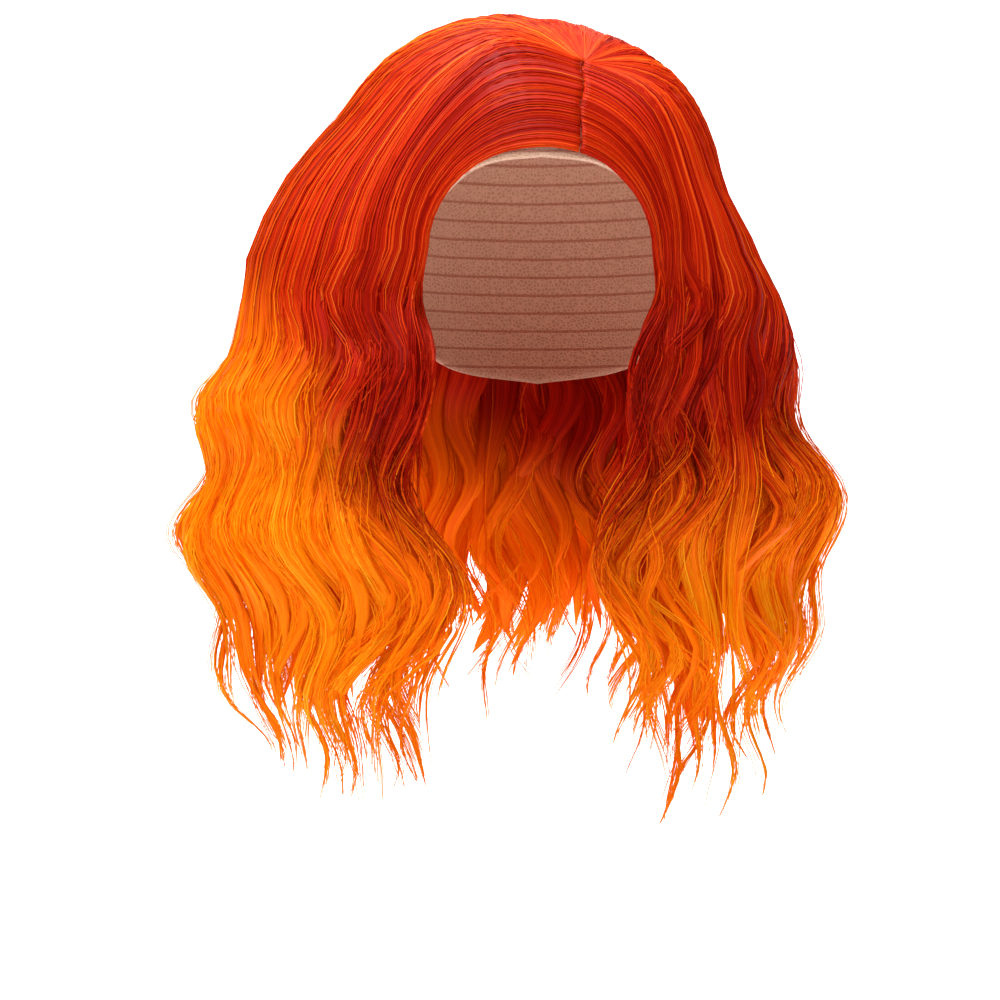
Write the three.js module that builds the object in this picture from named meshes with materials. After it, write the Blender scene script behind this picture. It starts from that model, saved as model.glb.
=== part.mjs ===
// A short wavy wig: a net cap, the skin-coloured strip under its side parting, a soft band inside
// its front edge, and three tiers of hair that hang from the cap in waved, tapering locks.
//
// Millimetres, +Z up, the face looking along -Y and the wearer's right hand at -X. The origin is
// the point inside the cap that the crown of the head touches.
//
// A place on the hair is a "spot": the angle down from the crown, measured at the middle of the
// head, until the hair has reached the head's widest level; then the drop below that level; and
// the azimuth round the head, 0 at the face, negative on the left of the picture. From each spot
// the hair is so many millimetres thick, and each tier takes its own share of that thickness.
import * as THREE from "three";
import { mergeVertices } from "three/addons/utils/BufferGeometryUtils.js";

// The head that the cap is made for, measured inside the net
const headHalfWidth = 74;
const headHalfLength = 94;
const crownHeight = 95; // from the crown down to the widest level

// The cap, the strip under the parting and the band inside the front edge
const capWall = 1.2;
const napeTuck = 0.16; // share by which the cap closes in at the nape
const bandWidth = 11;
const bandThickness = 0.9;
const bandHalfSpan = 60; // degrees to each side of the face
const stripWidth = 15;
const stripThickness = 0.8;
const stripInset = 5; // of its front end behind the hair's
const pieceGap = 0.4; // between neighbouring pieces

// The parting, on the cap
const partingShare = 0.5; // of the hair on each side that is rooted along it
const partingSweep = 0.28; // how long the hair keeps to the way it leaves the parting
const partingOffset = 20; // from the middle of the head, towards +X
const partingFront = 108; // along the cap from the crown's level line to the front end
const partingBack = 38; // and to the whorl
const partingHalfGap = 1;
const whorlRadius = 4;

// How far the hair stands out over the cap
const crownVolume = 19;
const leftVolume = 64;
const rightVolume = 29;
const frontVolume = 11;
const backVolume = 40;
const sideStart = 25; // azimuth from which the front's fullness turns into the side's
const hairDrop = 249; // the longest locks, below the widest level
const rootThickness = 1.6;
const tipThickness = 0.3; // share of a lock's thickness that is left at its tip
const riseLength = 30; // over which hair sewn on in rows rises from its root to its tier
const partingRise = 46; // and the top hair
const faceEdge = 0.1; // share of the hair on each side that lies down beside the face
const faceLie = 0.6; // share by which it lies lower there
const faceLieDrop = 10; // below which it lifts again
const faceLift = 40;

// How the locks narrow, curl and stray
const lockTaper = 2.3; // a power: the higher, the longer they stay wide
const partedWidth = 0.97;
const tipCurl = 0.34; // share of a lock's width
const borderStray = 0.012;
const endStray = 0.03;

// Waves: those of the locks run round the head, and those of the body of hair out from it
const lockWaveLength = 106;
const lockWaveReach = 9;
const lockWaveGrowth = 120;
const lockWavePhase = 2.1; // radians
const lockWaveStray = { left: 2.8, right: -1.2 }; // of the phase, from lock to lock
const bodyWaveLength = 65;
const bodyWaveReach = 5.5;
const bodyWaveGrowth = 90;
const bodyWaveLeast = 0.35; // share of it at the face and at the back
const bodyWaveCrest = 57; // drop of a crest, at the back and the face
const bodyWaveShift = 9; // by which it is lower on the left and higher on the right

// Spacing of the sections along a lock: wide where it lies nearly straight, close over its waves
const domeSections = 7;
const wideAngle = 15; // degrees, for the tiers rooted in rows
const straightStep = 20;
const straightDrop = 40;
const waveStep = 11.5;

// Thickness of the hair over the crown of the head: shares of the volumes above, by angle down
// from the crown.
const domeRows = [
  { angle: 0, crown: 1, left: 0, right: 0, front: 0, back: 0 },
  { angle: 20, crown: 0.88, left: 0.17, right: 0.11, front: 0.09, back: 0.14 },
  { angle: 40, crown: 0.45, left: 0.41, right: 0.43, front: 0.16, back: 0.48 },
  { angle: 55, crown: 0.25, left: 0.5, right: 0.47, front: 0.2, back: 0.67 },
  { angle: 70, crown: 0.12, left: 0.72, right: 0.49, front: 0.44, back: 0.81 },
  { angle: 90, crown: 0, left: 1, right: 1, front: 1, back: 1 },
];

// Inside of the hair below the widest level, as shares of the cap's half sizes, and the azimuth
// at which the hair ends beside the face, by drop as a share of the longest.
const innerRows = [
  { drop: 0, left: 1, right: 1, front: 1, back: 1, faceLeft: 35, faceRight: 34 },
  { drop: 0.085, left: 1.06, right: 1.04, front: 0.92, back: 0.98, faceLeft: 38, faceRight: 36 },
  { drop: 0.18, left: 1.19, right: 1.11, front: 0.84, back: 0.96, faceLeft: 33, faceRight: 28 },
  { drop: 0.28, left: 1.35, right: 1.18, front: 0.77, back: 0.94, faceLeft: 33, faceRight: 23.5 },
  { drop: 0.41, left: 1.48, right: 1.28, front: 0.71, back: 0.91, faceLeft: 32.5, faceRight: 22 },
  { drop: 0.53, left: 1.53, right: 1.31, front: 0.68, back: 0.89, faceLeft: 29, faceRight: 20 },
  { drop: 0.67, left: 1.48, right: 1.23, front: 0.68, back: 0.88, faceLeft: 28, faceRight: 20 },
  { drop: 0.78, left: 1.37, right: 1.16, front: 0.69, back: 0.87, faceLeft: 29, faceRight: 22 },
  { drop: 1, left: 1.25, right: 1.08, front: 0.69, back: 0.86, faceLeft: 32, faceRight: 25 },
];

// Thickness of the hair below the widest level: shares of the volumes above.
const fallRows = [
  { drop: 0, left: 1, right: 1, front: 1, back: 1 },
  { drop: 0.085, left: 0.96, right: 1.24, front: 1.2, back: 1.03 },
  { drop: 0.18, left: 0.9, right: 1.23, front: 1.5, back: 1.05 },
  { drop: 0.28, left: 0.89, right: 1.08, front: 1.85, back: 1.08 },
  { drop: 0.41, left: 0.77, right: 1.32, front: 2.2, back: 1.14 },
  { drop: 0.53, left: 0.74, right: 1.3, front: 2.4, back: 1.15 },
  { drop: 0.67, left: 0.69, right: 1.1, front: 2.4, back: 1.1 },
  { drop: 0.78, left: 0.62, right: 1.14, front: 2.4, back: 1.04 },
  { drop: 1, left: 0.52, right: 1.1, front: 2.3, back: 0.95 },
];

// Where the locks end round the head, as shares of the longest drop. Across runs from -1 at the
// left edge of the face, over 0 at the back, to 1 at the right edge of the face.
const endRows = [
  { across: -1, end: 0.9 },
  { across: -0.85, end: 0.99 },
  { across: -0.7, end: 0.93 },
  { across: -0.5, end: 0.78 },
  { across: -0.3, end: 0.78 },
  { across: 0, end: 0.84 },
  { across: 0.35, end: 0.8 },
  { across: 0.55, end: 0.84 },
  { across: 0.72, end: 0.93 },
  { across: 0.88, end: 1 },
  { across: 1, end: 0.9 },
];

// Edge of the cap: angle down from the crown, by azimuth to either side of the face.
const rimRows = [
  { azimuth: 0, angle: 64.5 },
  { azimuth: 22, angle: 67.5 },
  { azimuth: 40, angle: 82 },
  { azimuth: 54, angle: 97 },
  { azimuth: 63, angle: 103 },
  { azimuth: 76, angle: 94 },
  { azimuth: 98, angle: 93 },
  { azimuth: 118, angle: 105 },
  { azimuth: 142, angle: 118 },
  { azimuth: 180, angle: 123 },
];

const radians = Math.PI / 180;
const shellCrown = crownHeight + capWall;
const mmPerDegree = shellCrown * radians;
const napeBelow = rimRows.at(-1).angle - 90;
const meanRadius = (headHalfWidth + headHalfLength + (leftVolume + rightVolume) / 2) / 2;

// A smooth curve through one column of a table, held level past both ends.
function follow(rows, along, column, at) {
  const last = rows.length - 1;
  if (at <= rows[0][along]) return rows[0][column];
  if (at >= rows[last][along]) return rows[last][column];
  const i = rows.findIndex((row) => row[along] > at) - 1;
  const slope = (a, b) =>
    (rows[b][column] - rows[a][column]) / (rows[b][along] - rows[a][along]);
  const span = rows[i + 1][along] - rows[i][along];
  const t = (at - rows[i][along]) / span;
  const leave = slope(Math.max(i - 1, 0), i + 1) * span;
  const arrive = slope(i, Math.min(i + 2, last)) * span;
  return (
    rows[i][column] * (1 + 2 * t) * (1 - t) ** 2 +
    leave * t * (1 - t) ** 2 +
    rows[i + 1][column] * t * t * (3 - 2 * t) -
    arrive * t * t * (1 - t)
  );
}

const smooth = (t) => {
  const clamped = Math.min(Math.max(t, 0), 1);
  return clamped * clamped * (3 - 2 * clamped);
};

// A steady value from -1 to 1 for each whole number, to make the locks unlike each other.
const vary = (number, seed) =>
  (Math.sin(number * 12.99 + seed * 78.23 + 1.7) + Math.sin(number * 4.14 + seed * 3.11)) / 2;

// The same direction as an azimuth from -180 to 180.
const turned = (azimuth) => ((((azimuth + 180) % 360) + 360) % 360) - 180;

// The direction in which the hair stands out at a spot.
function outward({ angle, azimuth }) {
  const level = Math.sin(angle * radians);
  return new THREE.Vector3(
    level * Math.sin(azimuth * radians),
    -level * Math.cos(azimuth * radians),
    Math.cos(angle * radians),
  );
}

// How far an ellipsoid with those half sizes reaches in a direction.
const reach = (direction, halfWidth, halfLength, height) =>
  1 / Math.hypot(direction.x / halfWidth, direction.y / halfLength, direction.z / height);

// A point of the cap: outside its inner face by that much. Below the widest level the wall hangs
// straight down and closes in towards the nape.
function capPoint(angle, azimuth, over) {
  const below = Math.max(angle - 90, 0);
  const direction = outward({ angle: Math.min(angle, 90), azimuth });
  const tuck = 1 - napeTuck * (below / napeBelow) ** 2;
  const distance =
    reach(direction, headHalfWidth * tuck, headHalfLength * tuck, crownHeight) + over;
  return direction
    .multiplyScalar(distance)
    .add(new THREE.Vector3(0, 0, -crownHeight - below * mmPerDegree));
}

// Thickness of all the hair at a spot, with the long waves that its outline shows.
function hairThickness({ angle, drop, azimuth }) {
  const turn = Math.abs(turned(azimuth));
  const side = turned(azimuth) < 0 ? "left" : "right";
  const share = drop / hairDrop;
  const volumes = {
    left: leftVolume,
    right: rightVolume,
    front: frontVolume,
    back: backVolume,
  };
  const over = (where) =>
    drop > 0
      ? volumes[where] * follow(fallRows, "drop", where, share)
      : volumes[where] * follow(domeRows, "angle", where, angle);
  const crown = drop > 0 ? 0 : crownVolume * follow(domeRows, "angle", "crown", angle);
  const ends = turn < 90 ? "front" : "back";
  const towardsSide = turn < 90 ? smooth((turn - sideStart) / (90 - sideStart)) : smooth((180 - turn) / 90);
  const mean = crown + over(ends) + (over(side) - over(ends)) * towardsSide;
  const crest = bodyWaveCrest - bodyWaveShift * Math.sin(azimuth * radians);
  const growth = smooth(drop / bodyWaveGrowth);
  const wave = Math.cos((2 * Math.PI * (drop - crest)) / bodyWaveLength);
  const sideways = Math.sin(Math.min(turn, 90) * radians) ** 2;
  return mean + bodyWaveReach * growth * wave * (bodyWaveLeast + (1 - bodyWaveLeast) * sideways);
}

// The point so many millimetres over the inside of the hair at a spot.
function hairPoint(spot, height) {
  const direction = outward(spot);
  const share = spot.drop / hairDrop;
  const widthways = direction.x < 0 ? "left" : "right";
  const lengthways = direction.y < 0 ? "front" : "back";
  const clear = capWall + pieceGap;
  const distance =
    reach(
      direction,
      (headHalfWidth + clear) * follow(innerRows, "drop", widthways, share),
      (headHalfLength + clear) * follow(innerRows, "drop", lengthways, share),
      crownHeight + clear,
    ) + height;
  return direction
    .multiplyScalar(distance)
    .add(new THREE.Vector3(0, 0, -crownHeight - spot.drop));
}

// How far a lock's wave pushes it round the head at a drop, in millimetres.
function lockWave(across, drop) {
  const stray =
    across < 0 ? lockWaveStray.left * Math.sin(5 * across) : lockWaveStray.right * Math.sin(4 * across);
  const turn = (2 * Math.PI * drop) / lockWaveLength + lockWavePhase + stray;
  return lockWaveReach * smooth(drop / lockWaveGrowth) * Math.sin(turn);
}

// The spot on the fall of the hair at a place across it, below the widest level.
function fallSpot(across, drop) {
  const side = across < 0 ? -1 : 1;
  const edge = side < 0 ? "faceLeft" : "faceRight";
  const face = follow(innerRows, "drop", edge, drop / hairDrop);
  const azimuth = side * (180 - (180 - face) * Math.abs(across));
  return { angle: 90, drop, azimuth: azimuth + lockWave(across, drop) / meanRadius / radians };
}

// Roots of the top tier on a flat map of the crown, in degrees from the crown to the right and to
// the front: down the parting, round the whorl and back up its other side.
function topRoot(across) {
  const side = across < 0 ? -1 : 1;
  const fromFace = 1 - Math.abs(across);
  const middle = partingOffset / mmPerDegree;
  const whorl = partingBack / mmPerDegree;
  const front = partingFront / mmPerDegree;
  const along = Math.min(fromFace / partingShare, 1);
  if (fromFace < partingShare) {
    const opening = partingHalfGap + (whorlRadius - partingHalfGap) * along ** 4;
    return {
      right: middle + (side * opening) / mmPerDegree,
      front: front + (whorl - front) * along,
      leave: 90,
      side,
    };
  }
  const turn = (fromFace - partingShare) / (1 - partingShare);
  return {
    right: middle + (side * whorlRadius * Math.cos((turn * Math.PI) / 2)) / mmPerDegree,
    front: whorl - (whorlRadius * Math.sin((turn * Math.PI) / 2)) / mmPerDegree,
    leave: 90 + 90 * turn,
    side,
  };
}

// The spot over the crown, a share of the way from a root of the top tier to the widest level.
// On the map its path is a cubic curve that leaves the parting squarely and ends going outwards.
function topSpot(across, way) {
  const root = topRoot(across);
  const { azimuth } = fallSpot(across, 0);
  const end = {
    right: 90 * Math.sin(azimuth * radians),
    front: 90 * Math.cos(azimuth * radians),
  };
  const handle = partingSweep * Math.hypot(end.right - root.right, end.front - root.front);
  const leave = root.leave * radians;
  const bend = (name, outwards) => {
    const first = root[name] + handle * outwards;
    const second = end[name] * (1 - handle / 90);
    const rest = 1 - way;
    return (
      root[name] * rest ** 3 +
      3 * first * rest * rest * way +
      3 * second * rest * way * way +
      end[name] * way ** 3
    );
  };
  const right = bend("right", root.side * Math.sin(leave));
  const front = bend("front", Math.cos(leave));
  return {
    angle: Math.hypot(right, front),
    drop: 0,
    azimuth: Math.atan2(right, front) / radians,
  };
}

// The tiers of hair. The top one is rooted along the parting and round the whorl, and the others
// along a row of the cap at the given angle. Across runs as far as edge to each side. Outer is the
// share of all the hair's thickness at which the tier lies, and share is how much of it the tier
// takes, up to the thickest. Its locks part below the drop named split, and end shorter than the
// table of ends says. Relief is the depth of the furrows between them, as a share of the tier.
const tiers = {
  top: {
    locks: 20,
    edge: 1,
    outer: 1,
    share: 0.38,
    thickest: 11,
    split: 95,
    shorter: 0,
    relief: 0.62,
    ridge: [0, 1, 0.72, 0.95, 0],
    inside: [0, 4],
  },
  middle: {
    row: 60,
    locks: 11,
    edge: 0.9,
    outer: 0.52,
    share: 0.18,
    thickest: 8,
    split: 100,
    shorter: -0.02,
    relief: 0.6,
    ridge: [0, 1, 0],
    inside: [0, 1, 2],
  },
  under: {
    row: 84,
    locks: 10,
    edge: 0.88,
    outer: 0.25,
    share: 0.2,
    thickest: 8,
    split: 100,
    shorter: 0.06,
    relief: 0.6,
    ridge: [0, 1, 0],
    inside: [0, 1, 2],
  },
};

// The spots down the hair at one place across it: first over the head, then down the fall.
function sections(tier, across) {
  const spots = [];
  if (tier.row) {
    for (let angle = tier.row; angle < 90; angle += wideAngle) {
      spots.push({ ...fallSpot(across, 0), angle });
    }
  } else {
    for (let i = 0; i < domeSections; i++) spots.push(topSpot(across, i / domeSections));
  }
  for (let drop = 0; drop < hairDrop; drop += drop < straightDrop ? straightStep : waveStep) {
    spots.push(fallSpot(across, drop));
  }
  return spots;
}

// How far down the hair a section lies from its root.
function lengthTo(spots, index) {
  let length = 0;
  for (let i = 1; i <= index; i++) {
    length += hairPoint(spots[i], 0).distanceTo(hairPoint(spots[i - 1], 0));
  }
  return length;
}

// How much the place across the hair changes over one millimetre at a section.
function acrossPerMm(tier, across, index) {
  const step = 0.004;
  const [a, b] = [across - step, across + step].map((place) => {
    const spot = sections(tier, place)[index];
    return hairPoint(spot, hairThickness(spot) * tier.outer);
  });
  return (2 * step) / a.distanceTo(b);
}

// The border before a lock, as a place across the hair. Those between two locks stray a little.
function border(tier, number) {
  const even = tier.edge * ((2 * number) / tier.locks - 1);
  const between = number > 0 && number < tier.locks;
  return between ? even + borderStray * vary(number, 5) : even;
}

// Outer and inner face of a tier at a spot, over the inside of the hair. It rises from its root
// to its layer, clear of the strip under the parting, and the edge beside the face lies down on
// the cap. Fullness is 1 on a whole lock and 0 at its tip.
function faces(tier, { spot, across, fromRoot, fullness }) {
  const all = hairThickness(spot);
  const rise = smooth(fromRoot / (tier.row ? riseLength : partingRise));
  const seat = tier.row ? 0 : stripThickness + 2 * pieceGap;
  const besideFace = smooth((Math.abs(across) - 1 + faceEdge) / faceEdge);
  const lying = tier.row ? 0 : besideFace * (1 - smooth((spot.drop - faceLieDrop) / faceLift));
  const layer = all * tier.outer * (1 - faceLie * lying);
  const full = Math.min(all * tier.share, tier.thickest);
  const thick = rootThickness + (full - rootThickness) * rise;
  const slim = thick * (tipThickness + (1 - tipThickness) * fullness);
  const over = seat + rootThickness + (layer - seat - rootThickness) * rise;
  const middle = over - thick / 2;
  const lowest = seat * (1 - smooth(fromRoot / stripWidth - 0.7));
  return {
    outer: middle + slim / 2,
    inner: Math.max((middle - slim / 2) * (1 - lying), lowest),
  };
}

// One lock: its rings of points, outer face first, and its tip. Where it borders another sheet it
// keeps half the gap.
function layLock(tier, number, { openLeft, openRight }) {
  const [left, right] = [border(tier, number), border(tier, number + 1)];
  const [middle, width] = [(left + right) / 2, right - left];
  const spots = sections(tier, middle);
  const ends = follow(endRows, "across", "end", middle) - tier.shorter;
  const end = hairDrop * Math.min(ends - endStray + endStray * vary(number, tier.locks), 1);
  const curl = tipCurl * width * vary(number + 0.5, tier.locks);
  const count = spots.findIndex((spot) => spot.drop > end - waveStep / 2);
  const split = spots.findLastIndex((spot) => spot.drop <= tier.split);
  const last = tier.ridge.length - 1;
  const rings = [];
  for (let j = 0; j < count; j++) {
    const past = Math.max((spots[j].drop - spots[split].drop) / (end - spots[split].drop), 0);
    const fullness = 1 - past ** lockTaper;
    const spread = j > split ? partedWidth * fullness : 1;
    const leftGap = openLeft ? 0 : (acrossPerMm(tier, left, j) * pieceGap) / 2;
    const rightGap = openRight ? 0 : (acrossPerMm(tier, right, j) * pieceGap) / 2;
    const outer = [];
    const inner = [];
    tier.ridge.forEach((height, c) => {
      const place = left + leftGap + ((width - leftGap - rightGap) * c) / last;
      const across = middle + (place - middle) * spread + curl * past ** 2;
      const way = sections(tier, across);
      const size = faces(tier, { spot: way[j], across, fromRoot: lengthTo(way, j), fullness });
      const furrow = (size.outer - size.inner) * tier.relief * (1 - height);
      outer.push(hairPoint(way[j], size.outer - (j === 0 ? furrow / 2 : furrow)));
      if (tier.inside.includes(c)) inner.push(hairPoint(way[j], size.inner));
    });
    rings.push({ outer, inner });
  }
  const spot = fallSpot(middle + curl, end);
  const size = faces(tier, { spot, across: middle, fromRoot: hairDrop, fullness: 0 });
  return { rings, split, tip: hairPoint(spot, (size.outer + size.inner) / 2) };
}

// Adds a lock's faces: its root's end face, its sides and its tip. Above the split, a side that
// it shares with the next lock stays open.
function closeLock(triangles, { rings, split, tip }, { openLeft, openRight }) {
  const { outer, inner } = rings[0];
  const [lastOuter, lastInner] = [outer.length - 1, inner.length - 1];
  for (let c = 0; c < lastOuter; c++) {
    const [here, next] = [c, c + 1].map((k) => Math.round((k / lastOuter) * lastInner));
    triangles.push([outer[c + 1], outer[c], inner[here]]);
    if (next !== here) triangles.push([inner[next], outer[c + 1], inner[here]]);
  }
  const loops = rings.map((ring) => [...ring.outer, ...ring.inner.toReversed()]);
  const size = loops[0].length;
  const shared = (i) => (i === lastOuter && openRight) || (i === size - 1 && openLeft);
  for (let j = 0; j < loops.length - 1; j++) {
    for (let i = 0; i < size; i++) {
      if (j < split && shared(i)) continue;
      const n = (i + 1) % size;
      const [a, b, c, d] = [loops[j][i], loops[j][n], loops[j + 1][n], loops[j + 1][i]];
      triangles.push([a, b, c], [a, c, d]);
    }
  }
  const last = loops[loops.length - 1];
  for (let i = 0; i < size; i++) triangles.push([last[i], last[(i + 1) % size], tip]);
}

// A sheet of neighbouring locks, one closed surface: joined side by side near the roots, and
// parted below the tier's split, where each narrows to its own tip.
function lockSheet(tier, firstLock, lastLock) {
  const triangles = [];
  for (let number = firstLock; number < lastLock; number++) {
    const sides = { openLeft: number > firstLock, openRight: number < lastLock - 1 };
    closeLock(triangles, layLock(tier, number, sides), sides);
  }
  return solid(triangles);
}

// One closed surface from triangles, with shared corners merged and no slivers.
function solid(triangles) {
  const corners = triangles.flat().flatMap((point) => [point.x, point.y, point.z]);
  const geometry = new THREE.BufferGeometry();
  geometry.setAttribute("position", new THREE.Float32BufferAttribute(corners, 3));
  const merged = mergeVertices(geometry, 1e-3);
  const index = [];
  const all = merged.index.array;
  for (let i = 0; i < all.length; i += 3) {
    const [a, b, c] = all.slice(i, i + 3);
    if (a !== b && b !== c && c !== a) index.push(a, b, c);
  }
  merged.setIndex(index);
  merged.computeVertexNormals();
  return merged;
}

// The net cap: a dome of even wall, open below, whose edge follows the hairline, drops in front of
// each ear, clears it and hangs lower over the nape.
const capAzimuths = 32;
const capRings = 7;
const rimAngle = (azimuth) =>
  follow(rimRows, "azimuth", "angle", Math.abs(turned(azimuth)));
const bandTop = (azimuth) => rimAngle(azimuth) - bandWidth / mmPerDegree;

function capGeometry() {
  const triangles = [];
  const ringAngle = (ring, azimuth) =>
    ring === capRings ? rimAngle(azimuth) : (bandTop(azimuth) * ring) / (capRings - 1);
  const wall = (over, outside) => {
    for (let j = 0; j < capRings; j++) {
      for (let i = 0; i < capAzimuths; i++) {
        const [here, next] = [i, i + 1].map((k) => ((k % capAzimuths) * 360) / capAzimuths);
        const a = capPoint(ringAngle(j, here), here, over);
        const b = capPoint(ringAngle(j, next), next, over);
        const c = capPoint(ringAngle(j + 1, next), next, over);
        const d = capPoint(ringAngle(j + 1, here), here, over);
        const faces = j === 0 ? [[a, d, c]] : [[a, d, c], [a, c, b]];
        for (const face of faces) triangles.push(outside ? face : face.reverse());
      }
    }
  };
  wall(capWall, true);
  wall(0, false);
  for (let i = 0; i < capAzimuths; i++) {
    const [here, next] = [i, i + 1].map((k) => ((k % capAzimuths) * 360) / capAzimuths);
    const a = capPoint(rimAngle(here), here, 0);
    const b = capPoint(rimAngle(next), next, 0);
    const c = capPoint(rimAngle(next), next, capWall);
    const d = capPoint(rimAngle(here), here, capWall);
    triangles.push([a, b, c], [a, c, d]);
  }
  return solid(triangles);
}

// A strip swept through four-cornered or longer rings, closed at both ends.
function sweep(rings) {
  const triangles = [];
  const size = rings[0].length;
  for (let j = 0; j < rings.length - 1; j++) {
    for (let i = 0; i < size; i++) {
      const n = (i + 1) % size;
      const [a, b, c, d] = [rings[j][i], rings[j][n], rings[j + 1][n], rings[j + 1][i]];
      triangles.push([a, b, c], [a, c, d]);
    }
  }
  const [start, end] = [rings[0], rings[rings.length - 1]];
  for (let i = 1; i < size - 1; i++) {
    triangles.push([start[0], start[i + 1], start[i]], [end[0], end[i], end[i + 1]]);
  }
  return solid(triangles);
}

// The soft band sewn inside the front edge, from one ear tab to the other.
function bandGeometry() {
  const rings = [];
  const step = 360 / capAzimuths;
  const stations = Math.floor(bandHalfSpan / step);
  for (let i = -stations; i <= stations; i++) {
    const azimuth = i * step;
    const corner = (angle, over) => capPoint(angle, azimuth, over);
    const [top, rim] = [bandTop(azimuth), rimAngle(azimuth)];
    const [outside, inside] = [-pieceGap, -pieceGap - bandThickness];
    rings.push([
      corner(top, outside),
      corner(rim, outside),
      corner(rim, inside),
      corner(top, inside),
    ]);
  }
  return sweep(rings);
}

// The skin-coloured strip under the parting, bent to the crown of the cap.
function stripGeometry() {
  const rings = [];
  const stations = 8;
  const middle = partingOffset / mmPerDegree;
  const half = stripWidth / 2 / mmPerDegree;
  const past = (whorlRadius + 2) / mmPerDegree;
  const front = (partingFront - stripInset) / mmPerDegree;
  const back = partingBack / mmPerDegree - past;
  for (let j = 0; j <= stations; j++) {
    const ahead = front + ((back - front) * j) / stations;
    const point = (right, over) =>
      capPoint(Math.hypot(right, ahead), Math.atan2(right, ahead) / radians, capWall + over);
    const across = [middle - half, middle, middle + half];
    rings.push([
      ...across.map((right) => point(right, pieceGap + stripThickness)),
      ...across.reverse().map((right) => point(right, pieceGap)),
    ]);
  }
  return sweep(rings);
}

const finish = (color, roughness) =>
  new THREE.MeshStandardMaterial({ color, roughness, metalness: 0 });
const colours = {
  net: finish("#b98a6a", 0.9),
  band: finish("#d9b79c", 0.85),
  skin: finish("#e6c6b0", 0.6),
  flame: finish("#d8431a", 0.5),
  amber: finish("#e8701c", 0.5),
  shade: finish("#a82a10", 0.55),
};

const wig = new THREE.Group();
const add = (name, geometry, material) => {
  const mesh = new THREE.Mesh(geometry, material);
  mesh.name = name;
  wig.add(mesh);
};

add("cap_net", capGeometry(), colours.net);
add("front_band", bandGeometry(), colours.band);
add("parting_strip", stripGeometry(), colours.skin);

// Each tier in sheets of neighbouring locks, counted from the left edge of the face
const sheets = [
  { name: "top_hair_left_front", tier: "top", from: 0, to: 4 },
  { name: "top_hair_left_side", tier: "top", from: 4, to: 8 },
  { name: "top_hair_back", tier: "top", from: 8, to: 12 },
  { name: "top_hair_right_side", tier: "top", from: 12, to: 16 },
  { name: "top_hair_right_front", tier: "top", from: 16, to: 20 },
  { name: "middle_weft_left", tier: "middle", from: 0, to: 4 },
  { name: "middle_weft_back", tier: "middle", from: 4, to: 7 },
  { name: "middle_weft_right", tier: "middle", from: 7, to: 11 },
  { name: "under_weft_left", tier: "under", from: 0, to: 3 },
  { name: "under_weft_nape", tier: "under", from: 3, to: 7 },
  { name: "under_weft_right", tier: "under", from: 7, to: 10 },
];
const tierColours = { top: colours.flame, middle: colours.amber, under: colours.shade };
for (const { name, tier, from, to } of sheets) {
  add(name, lockSheet(tiers[tier], from, to), tierColours[tier]);
}

export default wig;
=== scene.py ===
"""A short wavy wig in red-orange that turns to orange at its ends, in the form it has when worn.

Metres, +Z up, the front along -Y. The origin is the top of the cap's crown, on its inner side.
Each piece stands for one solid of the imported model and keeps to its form.
"""

import math

import bpy
import numpy as np
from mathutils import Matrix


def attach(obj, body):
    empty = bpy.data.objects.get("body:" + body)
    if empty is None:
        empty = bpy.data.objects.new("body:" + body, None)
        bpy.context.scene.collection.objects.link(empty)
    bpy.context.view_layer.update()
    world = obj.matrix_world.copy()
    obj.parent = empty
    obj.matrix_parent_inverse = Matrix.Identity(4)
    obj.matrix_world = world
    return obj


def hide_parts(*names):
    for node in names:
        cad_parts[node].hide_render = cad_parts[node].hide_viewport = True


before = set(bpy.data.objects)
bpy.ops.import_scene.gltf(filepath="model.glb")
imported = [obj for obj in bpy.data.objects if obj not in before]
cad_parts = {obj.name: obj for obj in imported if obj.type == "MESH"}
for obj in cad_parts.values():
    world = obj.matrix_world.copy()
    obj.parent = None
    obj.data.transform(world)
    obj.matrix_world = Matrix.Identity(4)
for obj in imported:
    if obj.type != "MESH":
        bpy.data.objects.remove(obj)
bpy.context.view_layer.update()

# The studio: a pale paper floor that curves up into a wall, far enough below and behind the wig
# to stay plain, and the camera straight in front, a little below the wig's middle, about as far
# off as a portrait is taken from.
FLOOR_HEIGHT = -0.62
WALL_BACK = 1.7
WALL_RISE = 4
COVE_RADIUS = 0.6
FLOOR_FRONT = -3.0
STUDIO_HALF_WIDTH = 3.0
PAPER_GLOW = 0.45
AIR_GLOW = 0.22
CAMERA_DISTANCE = 1.6
VIEW_WIDTH = 0.47
VIEW_CENTRE = (-0.0188, -0.2077)  # to the right, and up
SENSOR_WIDTH = 0.036


def cove_surface(half_width, front, back, radius, height, steps=24):
    """A profile carried sideways: a flat floor, a quarter circle, and a wall straight up."""
    turn = np.linspace(0, math.pi / 2, steps)
    depth = np.concatenate([[front], back - radius + radius * np.sin(turn), [back]])
    rise = np.concatenate([[0], radius - radius * np.cos(turn), [WALL_RISE]]) + height
    sides = np.array([-half_width, half_width])
    return np.stack(np.broadcast_arrays(sides[:, None], depth, rise), axis=-1)


def grid_faces(rows, columns, close_rows=False, close_columns=False):
    """Four-cornered faces between neighbouring points of a grid, row by row."""
    row = np.arange(rows if close_rows else rows - 1)[:, None]
    column = np.arange(columns if close_columns else columns - 1)[None, :]
    next_row, next_column = (row + 1) % rows, (column + 1) % columns
    corners = [
        row * columns + column,
        row * columns + next_column,
        next_row * columns + next_column,
        next_row * columns + column,
    ]
    return np.stack(corners, axis=-1).reshape(-1, 4)


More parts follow.
